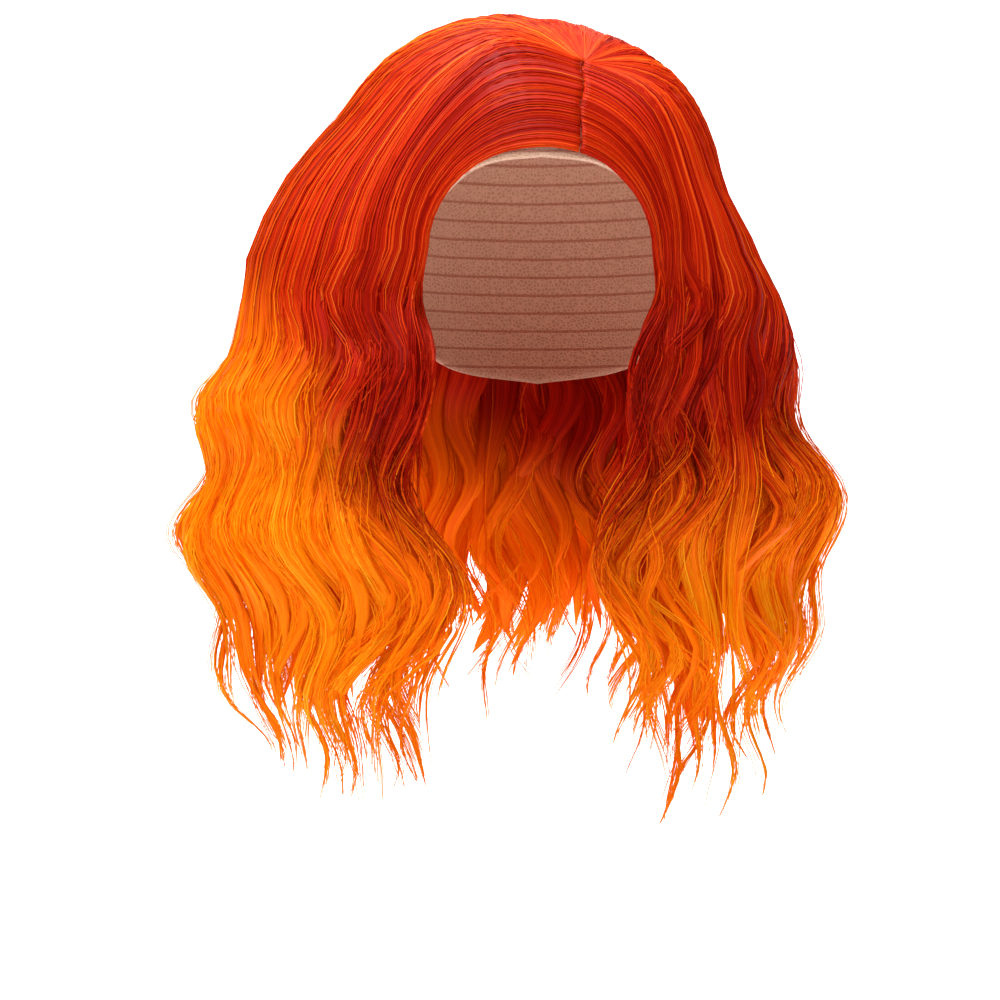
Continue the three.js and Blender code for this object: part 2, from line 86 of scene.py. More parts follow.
def new_piece(name, points, faces, material):
    """A smooth mesh object from an array of points and one or more arrays of faces, each array
    with its own number of corners to a face."""
    mesh = bpy.data.meshes.new(name)
    points = np.asarray(points, np.float32).reshape(-1, 3)
    sides = np.concatenate([np.full(len(part), part.shape[1]) for part in faces])
    corners = np.concatenate([part.ravel() for part in faces])
    mesh.vertices.add(len(points))
    mesh.vertices.foreach_set("co", points.ravel())
    mesh.loops.add(len(corners))
    mesh.loops.foreach_set("vertex_index", corners.astype(np.int32))
    mesh.polygons.add(len(sides))
    starts = np.concatenate([[0], np.cumsum(sides)[:-1]])
    mesh.polygons.foreach_set("loop_start", starts.astype(np.int32))
    mesh.polygons.foreach_set("use_smooth", np.ones(len(sides), bool))
    mesh.update(calc_edges=True)
    mesh.materials.append(material)
    piece = bpy.data.objects.new(name, mesh)
    bpy.context.scene.collection.objects.link(piece)
    return piece


class Wire:
    """An output of a material's node, which arithmetic turns into further Math nodes."""

    def __init__(self, tree, socket=None):
        self.tree = tree
        self.socket = socket

    def node(self, kind, settings=None, inputs=None, output=0):
        """Adds a node: its settings first, a ramp's stops among them, then its sockets."""
        made = self.tree.nodes.new(kind)
        for name, value in (settings or {}).items():
            if name == "stops":
                ramp = made.color_ramp.elements
                while len(ramp) < len(value):
                    ramp.new(1)
                for element, (place, colour) in zip(ramp, value):
                    element.position = place
                    element.color = colour
            else:
                setattr(made, name, value)
        for key, value in (inputs or {}).items():
            if isinstance(value, Wire):
                self.tree.links.new(value.socket, made.inputs[key])
            else:
                made.inputs[key].default_value = value
        return Wire(self.tree, made.outputs[output])

    def __add__(self, other):
        return self.node("ShaderNodeMath", {"operation": "ADD"}, {0: self, 1: other})

    def __radd__(self, other):
        return self.node("ShaderNodeMath", {"operation": "ADD"}, {0: other, 1: self})

    def __sub__(self, other):
        return self.node("ShaderNodeMath", {"operation": "SUBTRACT"}, {0: self, 1: other})

    def __rsub__(self, other):
        return self.node("ShaderNodeMath", {"operation": "SUBTRACT"}, {0: other, 1: self})

    def __mul__(self, other):
        return self.node("ShaderNodeMath", {"operation": "MULTIPLY"}, {0: self, 1: other})

    def __rmul__(self, other):
        return self.node("ShaderNodeMath", {"operation": "MULTIPLY"}, {0: other, 1: self})


def fade(value, low, high):
    """0 where a wire's value is below low, 1 where it is above high, and smooth between."""
    spread = {"From Min": low, "From Max": high, "Value": value}
    return value.node("ShaderNodeMapRange", {"interpolation_type": "SMOOTHSTEP"}, spread)


def blend(share, first, second):
    """From the first colour to the second as a wire's value goes from 0 to 1."""
    mixed = {"Factor": share, 6: first, 7: second}
    return share.node("ShaderNodeMix", {"data_type": "RGBA"}, mixed, output=2)


def noise(place, scale, detail=2.0):
    """Noise from 0 to 1 over the places that a wire carries."""
    return place.node("ShaderNodeTexNoise", {}, {"Vector": place, "Scale": scale, "Detail": detail})


def new_material(name):
    """A material with a Principled shader: the wire to build on, and the shader."""
    material = bpy.data.materials.new(name)
    material.use_nodes = True
    tree = material.node_tree
    return material, Wire(tree), tree.nodes["Principled BSDF"]


def rgb(red, green, blue):
    """A colour for a shader socket from one as a screen shows it, 0 to 255."""
    screen = np.array([red, green, blue]) / 255
    linear = np.where(screen <= 0.04045, screen / 12.92, ((screen + 0.055) / 1.055) ** 2.4)
    return (*linear.tolist(), 1.0)


paper, _, paper_shader = new_material("studio_paper")
paper_shader.inputs["Base Color"].default_value = rgb(250, 250, 250)
paper_shader.inputs["Roughness"].default_value = 0.9
paper_shader.inputs["Emission Color"].default_value = (1, 1, 1, 1)
paper_shader.inputs["Emission Strength"].default_value = PAPER_GLOW
cove_points = cove_surface(STUDIO_HALF_WIDTH, FLOOR_FRONT, WALL_BACK, COVE_RADIUS, FLOOR_HEIGHT)
cove = new_piece("studio_floor", cove_points, [grid_faces(*cove_points.shape[:2])[:, ::-1]], paper)

world = bpy.data.worlds.new("studio")
world.use_nodes = True
world.node_tree.nodes["Background"].inputs["Color"].default_value = (1, 1, 1, 1)
world.node_tree.nodes["Background"].inputs["Strength"].default_value = AIR_GLOW
bpy.context.scene.world = world
bpy.context.scene.view_settings.view_transform = "Standard"


def soft_light(name, place, aim, size, power):
    """A square soft box at a place, turned to face another."""
    light = bpy.data.lights.new(name, "AREA")
    light.size = size
    light.energy = power
    box = bpy.data.objects.new(name, light)
    box.location = place
    away = np.array(place) - np.array(aim)
    flat = math.hypot(away[0], away[1])
    box.rotation_euler = (math.atan2(flat, away[2]), 0, math.atan2(away[1], away[0]) + math.pi / 2)
    bpy.context.scene.collection.objects.link(box)


LIT_PLACE = (0, 0, -0.15)
soft_light("key_light", (-1.1, -1.35, 1.3), LIT_PLACE, 0.7, 14)
soft_light("fill_light", (1.1, -1.4, -0.7), LIT_PLACE, 1.0, 6.5)
soft_light("top_light", (-0.3, -0.25, 1.48), LIT_PLACE, 0.7, 35)
soft_light("wall_light", (0, 0.5, 1.4), (0, WALL_BACK, 0.2), 1.6, 26)

camera_data = bpy.data.cameras.new("camera")
camera_data.sensor_width = SENSOR_WIDTH * 1000
camera_data.lens = camera_data.sensor_width * CAMERA_DISTANCE / VIEW_WIDTH
camera = bpy.data.objects.new("camera", camera_data)
camera.location = (VIEW_CENTRE[0], -CAMERA_DISTANCE, VIEW_CENTRE[1])
camera.rotation_euler = (math.pi / 2, 0, 0)
bpy.context.scene.collection.objects.link(camera)
bpy.context.scene.camera = camera


# The cap: a dome of fine stretch net in a skin tone, sewn from one piece and bound at the rim. Its
# edge follows the hairline, has a tab at either side and hangs lower at the nape, and the rows of
# sewn hair show through as faint lines.
CAP_HALF_WIDTH = 0.074
CAP_HALF_LENGTH = 0.094
CROWN_HEIGHT = 0.095
CAP_WALL = 0.0012
NAPE_TUCK = 0.16
PER_DEGREE = math.radians(CROWN_HEIGHT + CAP_WALL)
RIM = {
    "azimuth": [0, 22, 40, 54, 63, 76, 98, 118, 142, 180],
    "angle": [64.5, 67.5, 82, 97, 103, 94, 93, 105, 118, 123],
}
NAPE_BELOW = RIM["angle"][-1] - 90
CAP_ROWS, CAP_COLUMNS = 44, 160
BINDING_START = 0.95
BINDING_THICKNESS = 0.0005
NET_RECESS = 0.0002
WEFT_SPACING = 0.009


def follow(table, along, column, at):
    """A smooth curve through a column: on each span the cubic whose slope at either end is that
    of the line between the neighbouring rows. It is held level past both ends."""
    xs, ys = np.asarray(table[along], float), np.asarray(table[column], float)
    at = np.clip(at, xs[0], xs[-1])
    last = len(xs) - 1
    i = np.clip(np.searchsorted(xs, at, side="right") - 1, 0, last - 1)
    before, after = np.maximum(i - 1, 0), np.minimum(i + 2, last)
    span = xs[i + 1] - xs[i]
    t = (at - xs[i]) / span
    leave = (ys[i + 1] - ys[before]) / (xs[i + 1] - xs[before]) * span
    arrive = (ys[after] - ys[i]) / (xs[after] - xs[i]) * span
    from_start = ys[i] * (1 + 2 * t) * (1 - t) ** 2 + leave * t * (1 - t) ** 2
    return from_start + ys[i + 1] * t**2 * (3 - 2 * t) - arrive * t**2 * (1 - t)


def smooth(t):
    """0 below 0, 1 above 1, and a smooth cubic between."""
    t = np.clip(t, 0, 1)
    return t * t * (3 - 2 * t)


def outward(angle, azimuth):
    """The unit direction that lies an angle down from straight up, at an azimuth from the front."""
    angle, azimuth = np.radians(angle), np.radians(azimuth)
    level = np.sin(angle)
    return np.stack([level * np.sin(azimuth), -level * np.cos(azimuth), np.cos(angle)], axis=-1)


def reach(direction, half_width, half_length, height):
    """How far an ellipsoid with those half sizes reaches in each direction."""
    x, y, z = np.moveaxis(direction, -1, 0)
    return 1 / np.sqrt((x / half_width) ** 2 + (y / half_length) ** 2 + (z / height) ** 2)


def cap_points(angle, azimuth, over):
    """Points so far outside the cap's inner face: an ellipsoid down to its widest level, and
    below that a wall that hangs straight and closes in with the square of its depth."""
    below = np.maximum(angle - 90, 0)
    direction = outward(np.minimum(angle, 90), azimuth)
    tuck = 1 - NAPE_TUCK * (below / NAPE_BELOW) ** 2
    distance = reach(direction, CAP_HALF_WIDTH * tuck, CAP_HALF_LENGTH * tuck, CROWN_HEIGHT)
    points = direction * (distance + over)[..., None]
    points[..., 2] -= CROWN_HEIGHT + below * PER_DEGREE
    return points


def rim_angle(azimuth):
    """The angle at which the cap ends, by azimuth to either side."""
    return follow(RIM, "azimuth", "angle", np.abs((azimuth + 180) % 360 - 180))


def shell(inner, outer, name, material):
    """A closed wall between two grids of points that share their first and last rows' outline:
    down the outer one, round the rim, and back up the inner one."""
    loop = np.concatenate([outer, inner[::-1]])
    rows, columns = loop.shape[:2]
    faces = grid_faces(rows, columns, close_columns=True)
    return new_piece(name, loop, [faces], material)


cap_turn = np.linspace(-180, 180, CAP_COLUMNS, endpoint=False)
cap_share = np.concatenate([np.linspace(0.004, 0.96, CAP_ROWS), [0.985, 1.0]])[:, None]
cap_angle = cap_share * rim_angle(cap_turn)
bound = BINDING_THICKNESS * smooth((cap_share - BINDING_START) / 0.03)
cap_outer = cap_points(cap_angle, cap_turn, CAP_WALL - NET_RECESS + bound * 0.4)
cap_inner = cap_points(cap_angle, cap_turn, -bound)

net, wire, shader = new_material("cap_stretch_net")
place = wire.node("ShaderNodeTexCoord", {}, {}, output=3)
height = wire.node("ShaderNodeSeparateXYZ", {}, {"Vector": place}, output=2)
net_cells = wire.node(
    "ShaderNodeTexVoronoi", {"feature": "DISTANCE_TO_EDGE"},
    {"Vector": place, "Scale": 560.0, "Randomness": 0.85},
)
thread = 1 - fade(net_cells, 0.03, 0.3)
level = (height + noise(place, 25.0) * 0.001) * (2 * math.pi / WEFT_SPACING)
tape_row = fade(wire.node("ShaderNodeMath", {"operation": "SINE"}, {0: level}), 0.86, 0.95)
skin_tone = blend(noise(place, 18.0), rgb(232, 190, 162), rgb(222, 176, 146))
netted = blend(thread * 0.5 + 0.45, rgb(176, 122, 94), skin_tone)
sewn = blend(tape_row * 0.55, netted, rgb(156, 52, 26))
stitches = wire.node(
    "ShaderNodeBump", {}, {"Strength": 0.5, "Distance": 0.0005, "Height": thread + tape_row * 0.5}
)
wire.tree.links.new(sewn.socket, shader.inputs["Base Color"])
wire.tree.links.new(stitches.socket, shader.inputs["Normal"])
shader.inputs["Roughness"].default_value = 0.85
shader.inputs["Sheen Weight"].default_value = 0.25
cap = shell(cap_inner, cap_outer, "stretch_net_cap", net)
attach(cap, "root")
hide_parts("cap_net")

# The band inside the cap's front edge: a soft brushed tape, sewn on along both its edges, that
# keeps the net off the skin and runs down to the tab at either side.
BAND_WIDTH = 0.011
BAND_THICKNESS = 0.0009
BAND_CROWN = 0.00025
BAND_HALF_SPAN = 56
PIECE_GAP = 0.0004

band_turn = np.linspace(-BAND_HALF_SPAN, BAND_HALF_SPAN, 90)
band_share = np.linspace(0, 1, 9)[:, None]
band_low = rim_angle(band_turn)
band_angle = band_low - (1 - band_share) * math.degrees(BAND_WIDTH / (CROWN_HEIGHT + CAP_WALL))
crowned = BAND_CROWN * (1 - (2 * band_share - 1) ** 2)
band_outer = cap_points(band_angle, band_turn, -PIECE_GAP)
band_inner = cap_points(band_angle, band_turn, -PIECE_GAP - BAND_THICKNESS + BAND_CROWN - crowned)
tape, wire, shader = new_material("brushed_tape")
place = wire.node("ShaderNodeTexCoord", {}, {}, output=3)
nap = noise(place, 900.0, 3.0)
soft_tone = blend(nap, rgb(226, 188, 160), rgb(206, 160, 130))
wire.tree.links.new(soft_tone.socket, shader.inputs["Base Color"])
felted = wire.node("ShaderNodeBump", {}, {"Strength": 0.4, "Distance": 0.0004, "Height": nap})
wire.tree.links.new(felted.socket, shader.inputs["Normal"])
shader.inputs["Roughness"].default_value = 0.9
shader.inputs["Sheen Weight"].default_value = 0.4


def flat_strip(name, outer, inner, material):
    """A closed strip between two grids of points: the outer face, then the inner one."""
    rows, columns = outer.shape[:2]
    loop = np.concatenate([outer, inner[::-1]])
    faces = grid_faces(2 * rows, columns, close_rows=True)
    ends = []
    for column in (0, columns - 1):
        upper = np.arange(rows - 1) * columns + column
        lower = (2 * rows - 1 - np.arange(rows - 1)) * columns + column
        end = np.stack([upper, upper + columns, lower - columns, lower], axis=-1)
        ends.append(end if column == 0 else end[:, ::-1])
    return new_piece(name, loop, [faces, *ends], material)


band = flat_strip("brow_tape", band_outer, band_inner, tape)
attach(band, "root")
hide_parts("front_band")

# The strip under the parting: a coated net the colour of skin, through which the top hair is
# knotted in fine rows, so that the parting looks like a scalp.
STRIP_WIDTH = 0.015
STRIP_THICKNESS = 0.0008
PARTING_OFFSET = 0.020
PARTING_FRONT = 0.108
PARTING_BACK = 0.038
STRIP_INSET = 0.005
STRIP_PAST = 0.006

ahead = np.linspace(PARTING_FRONT - STRIP_INSET, PARTING_BACK - STRIP_PAST, 50) / PER_DEGREE
beside = (PARTING_OFFSET + np.linspace(-0.5, 0.5, 13)[:, None] * STRIP_WIDTH) / PER_DEGREE
strip_angle = np.hypot(beside, ahead)
strip_azimuth = np.degrees(np.arctan2(beside, ahead))
strip_low = cap_points(strip_angle, strip_azimuth, CAP_WALL + PIECE_GAP)
strip_high = cap_points(strip_angle, strip_azimuth, CAP_WALL + PIECE_GAP + STRIP_THICKNESS)
scalp, wire, shader = new_material("scalp_strip")
place = wire.node("ShaderNodeTexCoord", {}, {}, output=3)
knots = wire.node("ShaderNodeTexVoronoi", {}, {"Vector": place, "Scale": 900.0})
knot = 1 - fade(knots, 0.12, 0.3)
skin = blend(noise(place, 260.0, 3.0), rgb(240, 184, 156), rgb(220, 140, 108))
knotted = blend(knot * 0.7, skin, rgb(150, 46, 20))
wire.tree.links.new(knotted.socket, shader.inputs["Base Color"])
pores = wire.node("ShaderNodeBump", {}, {"Strength": 0.5, "Distance": 0.0002, "Height": knot})
wire.tree.links.new(pores.socket, shader.inputs["Normal"])
shader.inputs["Roughness"].default_value = 0.55
strip = flat_strip("scalp_strip", strip_low, strip_high, scalp)
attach(strip, "root")
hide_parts("parting_strip")


# The under wefts: the lowest row of hair, sewn round the cap as three long fringes. Like all the
# hair it is heat-proof fibre, red-orange at its roots and orange at its ends. It follows one flow:
# over the cap down to its widest level, then down in waves that part into locks with thin tips.
HAIR_DROP = 0.249
VOLUMES = {"left": 0.064, "right": 0.029, "front": 0.011, "back": 0.040}
CROWN_VOLUME = 0.019
SIDE_START = 25
MEAN_RADIUS = (CAP_HALF_WIDTH + CAP_HALF_LENGTH + (VOLUMES["left"] + VOLUMES["right"]) / 2) / 2
LOCK_WAVE_LENGTH, LOCK_WAVE_REACH, LOCK_WAVE_GROWTH, LOCK_WAVE_PHASE = 0.106, 0.009, 0.120, 2.1
LOCK_WAVE_STRAY_LEFT, LOCK_WAVE_STRAY_RIGHT = 2.8, -1.2
LOCK_WAVE_LEAST, LOCK_WAVE_FRONT, LOCK_WAVE_SPREAD = 0.4, 0.78, 0.17
BODY_WAVE_LENGTH, BODY_WAVE_REACH, BODY_WAVE_GROWTH = 0.065, 0.0055, 0.090
BODY_WAVE_LEAST, BODY_WAVE_CREST, BODY_WAVE_SHIFT = 0.35, 0.057, 0.009
ROOT_THICKNESS = 0.0016
ROW_RISE = 0.030
FACE_EDGE, FACE_LIE, FACE_LIE_DROP, FACE_LIFT = 0.1, 0.6, 0.010, 0.040
DOME = {
    "angle": [0, 20, 40, 55, 70, 90],
    "crown": [1, 0.88, 0.45, 0.25, 0.12, 0],
    "left": [0, 0.17, 0.41, 0.5, 0.72, 1],
    "right": [0, 0.11, 0.43, 0.47, 0.49, 1],
    "front": [0, 0.09, 0.16, 0.2, 0.44, 1],
    "back": [0, 0.14, 0.48, 0.67, 0.81, 1],
}
INNER = {
    "drop": [0, 0.085, 0.18, 0.28, 0.41, 0.53, 0.67, 0.78, 1],
    "left": [1, 1.06, 1.19, 1.35, 1.48, 1.53, 1.48, 1.37, 1.25],
    "right": [1, 1.04, 1.11, 1.18, 1.28, 1.31, 1.23, 1.16, 1.08],
    "front": [1, 0.92, 0.84, 0.77, 0.71, 0.68, 0.68, 0.69, 0.69],
    "back": [1, 0.98, 0.96, 0.94, 0.91, 0.89, 0.88, 0.87, 0.86],
    "face_left": [35, 38, 33, 33, 32.5, 29, 28, 29, 32],
    "face_right": [34, 36, 28, 23.5, 22, 20, 20, 22, 25],
}
FALL = {
    "drop": [0, 0.085, 0.18, 0.28, 0.41, 0.53, 0.67, 0.78, 1],
    "left": [1, 0.96, 0.9, 0.89, 0.77, 0.74, 0.69, 0.62, 0.52],
    "right": [1, 1.24, 1.23, 1.08, 1.32, 1.3, 1.1, 1.14, 1.1],
    "front": [1, 1.2, 1.5, 1.85, 2.2, 2.4, 2.4, 2.4, 2.3],
    "back": [1, 1.03, 1.05, 1.08, 1.14, 1.15, 1.1, 1.04, 0.95],
}
ENDS = {
    "across": [-1, -0.85, -0.7, -0.5, -0.3, 0, 0.35, 0.55, 0.72, 0.88, 1],
    "end": [0.9, 0.99, 0.93, 0.78, 0.78, 0.84, 0.8, 0.84, 0.93, 1, 0.9],
}
WISPS = 2
UNEVENNESS, OVERLAP, DEPTH_STRAY, CURL = 0.28, (1.25, 1.75), 0.07, 0.022
OWN_WAVE, OWN_WAVE_LENGTH, OWN_LIFT = (0.0020, 0.0068), (0.056, 0.078), (0.0008, 0.0034)
OWN_WAVE_GROWTH, OWN_WAVE_LEAD = 0.12, 0.045
STANDING_SHARE, STANDING_DEPTH, STANDING_LIFT = 0.22, 0.3, (0.0025, 0.006)
STANDING_START, STANDING_GROWTH = 0.03, 0.09
PINCH_START, PINCH_GROWTH = 0.02, 0.13
TAPER_START = 0.3
BODY_SHARE, BODY_SIDES, BODY_LOWEST, BODY_POINT, BODY_POWER = 0.87, 8, 0.0004, 0.97, 2.8
STRAND_SIDES, STRAND_LONGEST, STRAND_LOWEST = 3, 1.03, 0.0005
STRAND_THICKNESS, STRAND_DRIFT, GATHERING = (0.8, 1.3), (0.02, 0.12), 0.86
LOOSE_SHARE, LOOSE_LIFT = 0.12, (0.0006, 0.0055)
BODY_SLACK, STRAND_SLACK = 0.004, 0.012
OMBRE_SPREAD = 0.075
LAYER_SPREAD, LAYER_TOP = 0.7, 0.3
FIBRE_GLOW = 0.1
LOWER_START = 0.3
LOWER_STATIONS = 20
LOWER_LEAD = 0.15
# OMBRE: by place across, where the orange begins down the fall, and in the shade column painted
# shade that lowers the roots' tint towards either edge of the face opening, from further in on the
# right.
OMBRE = {
    "across": [-1, -0.9, -0.76, -0.6, -0.3, 0, 0.3, 0.6, 0.85, 1],
    "drop": [0.14, 0.104, 0.036, 0.022, 0.038, 0.074, 0.098, 0.106, 0.12, 0.132],
    "shade": [0.18, 0.17, 0.04, 0, 0, 0, 0, 0.05, 0.15, 0.18],
}


def hair_thickness(angle, drop, azimuth):
    """Thickness of all the hair at a spot: a mean between the front or the back and the side, and
    on it a cosine wave that grows down the fall and is strongest at the sides."""
    azimuth = (azimuth + 180) % 360 - 180
    turn = np.abs(azimuth)
    falls = drop > 0

    def over(where):
        fallen = follow(FALL, "drop", where, drop / HAIR_DROP)
        return VOLUMES[where] * np.where(falls, fallen, follow(DOME, "angle", where, angle))

    crown = np.where(falls, 0, CROWN_VOLUME * follow(DOME, "angle", "crown", angle))
    side = np.where(azimuth < 0, over("left"), over("right"))
    end = np.where(turn < 90, over("front"), over("back"))
    forward, backward = smooth((turn - SIDE_START) / (90 - SIDE_START)), smooth((180 - turn) / 90)
    mean = crown + end + (side - end) * np.where(turn < 90, forward, backward)
    crest = BODY_WAVE_CREST - BODY_WAVE_SHIFT * np.sin(np.radians(azimuth))
    wave = np.cos(2 * np.pi * (drop - crest) / BODY_WAVE_LENGTH) * smooth(drop / BODY_WAVE_GROWTH)
    sideways = np.sin(np.radians(np.minimum(turn, 90))) ** 2
    return mean + BODY_WAVE_REACH * wave * (BODY_WAVE_LEAST + (1 - BODY_WAVE_LEAST) * sideways)


def hair_point(angle, drop, azimuth, height):
    """The point so high over the inside of the hair, which is an ellipsoid over the cap and
    below it an upright wall whose half sizes follow a table."""
    direction = outward(angle, azimuth)
    clear = CAP_WALL + PIECE_GAP
    share = drop / HAIR_DROP
    left, right = follow(INNER, "drop", "left", share), follow(INNER, "drop", "right", share)
    front, back = follow(INNER, "drop", "front", share), follow(INNER, "drop", "back", share)
    half_width = (CAP_HALF_WIDTH + clear) * np.where(direction[..., 0] < 0, left, right)
    half_length = (CAP_HALF_LENGTH + clear) * np.where(direction[..., 1] < 0, front, back)
    distance = reach(direction, half_width, half_length, CROWN_HEIGHT + clear) + height
    points = direction * distance[..., None]
    points[..., 2] -= CROWN_HEIGHT + drop
    return points


def fall_azimuth(across, drop):
    """Azimuth on the fall of a place across the hair, from -1 at the left edge of the opening in
    front, over 0 at the back, to 1 at its right edge, moved to and fro by sine waves down it."""
    share = drop / HAIR_DROP
    left = follow(INNER, "drop", "face_left", share)
    right = follow(INNER, "drop", "face_right", share)
    face = np.where(across < 0, left, right)
    even = np.sign(across) * 180 - (180 - face) * across
    left_stray = LOCK_WAVE_STRAY_LEFT * np.sin(5 * across)
    stray = np.where(across < 0, left_stray, LOCK_WAVE_STRAY_RIGHT * np.sin(4 * across))
    turn = 2 * np.pi * drop / LOCK_WAVE_LENGTH + LOCK_WAVE_PHASE + stray
    frontal = smooth((np.abs(across) - LOCK_WAVE_FRONT) / LOCK_WAVE_SPREAD)
    calm = LOCK_WAVE_LEAST + (1 - LOCK_WAVE_LEAST) * frontal
    wave = LOCK_WAVE_REACH * calm * smooth(drop / LOCK_WAVE_GROWTH) * np.sin(turn)
    return even + np.degrees(wave / MEAN_RADIUS)


def row_spots(row):
    """The way of hair that is sewn on in a row round the cap: straight down from it."""

    def spots(across, way, drop):
        return row + (90 - row) * way, fall_azimuth(across, drop)

    return spots


def tier_faces(tier, across, way, drop):
    """Spots of a tier's hair, and there its outer and inner side and the length from the root. It
    rises from its root to its layer, and the edge beside the opening lies down on the cap."""
    angle, azimuth = tier["spots"](across, way, drop)
    angle = angle + 0 * drop
    ground = hair_point(angle, drop, azimuth, 0)
    steps = np.linalg.norm(np.diff(ground, axis=1), axis=-1)
    from_root = np.concatenate([np.zeros_like(steps[:, :1]), np.cumsum(steps, axis=1)], axis=1)
    from_root = from_root + tier["lead"]
    thickness = hair_thickness(angle, drop, azimuth)
    rise = smooth(from_root / tier["rise"])
    edge = tier["root_edge"] + (FACE_EDGE - tier["root_edge"]) * way
    beside = smooth((np.abs(across) - 1 + edge) / edge) * tier["lies_by_face"]
    lying = beside * (1 - smooth((drop - FACE_LIE_DROP) / FACE_LIFT))
    layer = thickness * tier["outer"] * (1 - FACE_LIE * lying)
    full = np.minimum(thickness * tier["share"], tier["thickest"])
    thick = ROOT_THICKNESS + (full - ROOT_THICKNESS) * rise
    seat = tier["seat"]
    outer = seat + ROOT_THICKNESS + (layer - seat - ROOT_THICKNESS) * rise
    lowest = seat * (1 - smooth(from_root / STRIP_WIDTH - 0.7))
    inner = np.maximum((outer - thick) * (1 - lying), lowest)
    return angle, azimuth, outer, inner, from_root


def tube_corners(middle, radius, sides):
    """Rings of corners round paths: at each station the radius times the cosine and the sine of
    a turn, along the two directions that are square to the path."""
    along = np.gradient(middle, axis=1)
    along /= np.linalg.norm(along, axis=-1, keepdims=True)
    away = middle - np.array([0, 0, 1]) * middle[..., 2:] + np.array([0, 0, 0.06])
    beside = np.cross(along, away)
    beside /= np.linalg.norm(beside, axis=-1, keepdims=True)
    above = np.cross(beside, along)
    turn = np.arange(sides) * 2 * np.pi / sides + np.pi / 2
    ring = np.cos(turn)[:, None] * beside[:, :, None] + np.sin(turn)[:, None] * above[:, :, None]
    return middle[:, :, None] + radius[..., None, None] * ring


def tube_faces(count, stations, sides):
    """Faces of closed tubes, as four-cornered sides and an end cap of as many corners as sides."""
    first = (np.arange(count) * stations * sides)[:, None, None, None]
    j = np.arange(stations - 1)[:, None] * sides
    k, after = np.arange(sides), (np.arange(sides) + 1) % sides
    skin = np.stack(np.broadcast_arrays(j + k, j + sides + k, j + sides + after, j + after), -1)
    skin = (first + skin).reshape(-1, 4)
    starts = np.arange(count)[:, None] * stations * sides
    near = starts + np.arange(sides)
    far = starts + (stations - 1) * sides + np.arange(sides)[::-1]
    return skin, np.concatenate([near, far])


def settle_locks(draw, tier, first, last, layers):
    """Locks side by side in each of a few layers: the place across of each, its half width, its
    depth in the tier, where it ends, its own wave, how far it stands off and its tint. Towards the
    opening they crowd together: the distance from its edge is a power of an even count."""
    power = tier["crowding"]
    bounds = np.array([first, last])
    first, last = np.sign(bounds) * (1 - (1 - np.abs(bounds)) ** (1 / power))
    place, half, depth = [], [], []
    for count, layer_depth in layers:
        step = (last - first) / count
        moved = draw.uniform(-UNEVENNESS, UNEVENNESS, count)
        even = first + (np.arange(count) + 0.5 + moved) * step
        left_over = 1 - np.abs(even)
        place.append(np.sign(even) * (1 - left_over**power))
        step = step * power * left_over ** (power - 1)
        half.append(0.5 * step * draw.uniform(*OVERLAP, count))
        depth.append(np.full(count, layer_depth) + draw.uniform(-DEPTH_STRAY, DEPTH_STRAY, count))
    place, half, depth = np.concatenate(place), np.concatenate(half), np.concatenate(depth)
    count = len(place)
    ends = follow(ENDS, "across", "end", place) - tier["shorter"]
    apart = (draw.uniform(0, 1, count) < STANDING_SHARE) & (depth < STANDING_DEPTH)
    return {
        "place": place,
        "half": half,
        "depth": depth,
        "end": HAIR_DROP * np.minimum(ends - 0.06 * depth + draw.uniform(-0.1, 0.06, count), 1.02),
        "wave": draw.uniform(*OWN_WAVE, count),
        "length": draw.uniform(*OWN_WAVE_LENGTH, count),
        "phase": 2.2 * np.sin(7 * place) + draw.normal(0, 1.0, count),
        "lift": draw.uniform(*OWN_LIFT, count),
        "stand": np.where(apart, draw.uniform(*STANDING_LIFT, count), 0),
        "curls": draw.uniform(-CURL, CURL, (count, WISPS)),
        "reaches": draw.uniform(-0.14, 0.03, (count, WISPS)),
        "flip": draw.uniform(-0.004, 0.007, count),
        "pinch": draw.uniform(0.2, 0.52, count),
        "tint": draw.uniform(0, 1, count),
    }


def stations(over_cap, down, start=0.0):
    """Stations along a lock: shares of the way over the cap, closer together near the root, and
    then shares of the drop."""
    over = np.linspace(0, 1, over_cap, endpoint=False) ** 1.25
    way = np.concatenate([over, np.ones(down)])
    return way, np.concatenate([np.zeros(over_cap), np.linspace(start, 1, down)])


def taper(share, drop):
    """How far each station is along the tapering part of a lock, from 0 to 1."""
    return np.clip((share - TAPER_START) / (1 - TAPER_START), 0, 1) + 0 * drop


def layer_height(locks, outer, room):
    """How high the middle of each lock lies in its tier: a share of the room in from outside."""
    return outer - room * (locks["depth"][:, None] * LAYER_SPREAD + LAYER_TOP)


def lock_flow(tier, locks, way, drop, past):
    """Middle of each lock at its stations, as a place across; its half width, as a share of the
    way across and in metres; and how far a cosine wave, its flip and its stand lift it."""
    middle = locks["place"][:, None] + 0 * drop
    step = 0.004
    sides = []
    for place in (middle - step, middle + step):
        angle, azimuth, outer, inner, _ = tier_faces(tier, place, way, drop)
        sides.append(hair_point(angle, drop, azimuth, (outer + inner) / 2))
    per_metre = 2 * step / np.linalg.norm(sides[1] - sides[0], axis=-1)
    grown = smooth((drop + OWN_WAVE_LEAD * way) / OWN_WAVE_GROWTH)
    turn = 2 * np.pi * drop / locks["length"][:, None] + locks["phase"][:, None]
    aside = locks["wave"][:, None] * grown * np.sin(turn) + locks["curl"][:, None] * past**3
    lift = locks["lift"][:, None] * grown * np.cos(turn + 0.7) + locks["flip"][:, None] * past**2
    lift = lift + locks["stand"][:, None] * smooth((drop - STANDING_START) / STANDING_GROWTH)
    narrowed = 1 - locks["pinch"][:, None] * smooth((drop - PINCH_START) / PINCH_GROWTH)
    half = locks["half"][:, None] * narrowed
    return middle + aside * per_metre, half, half / per_metre, lift


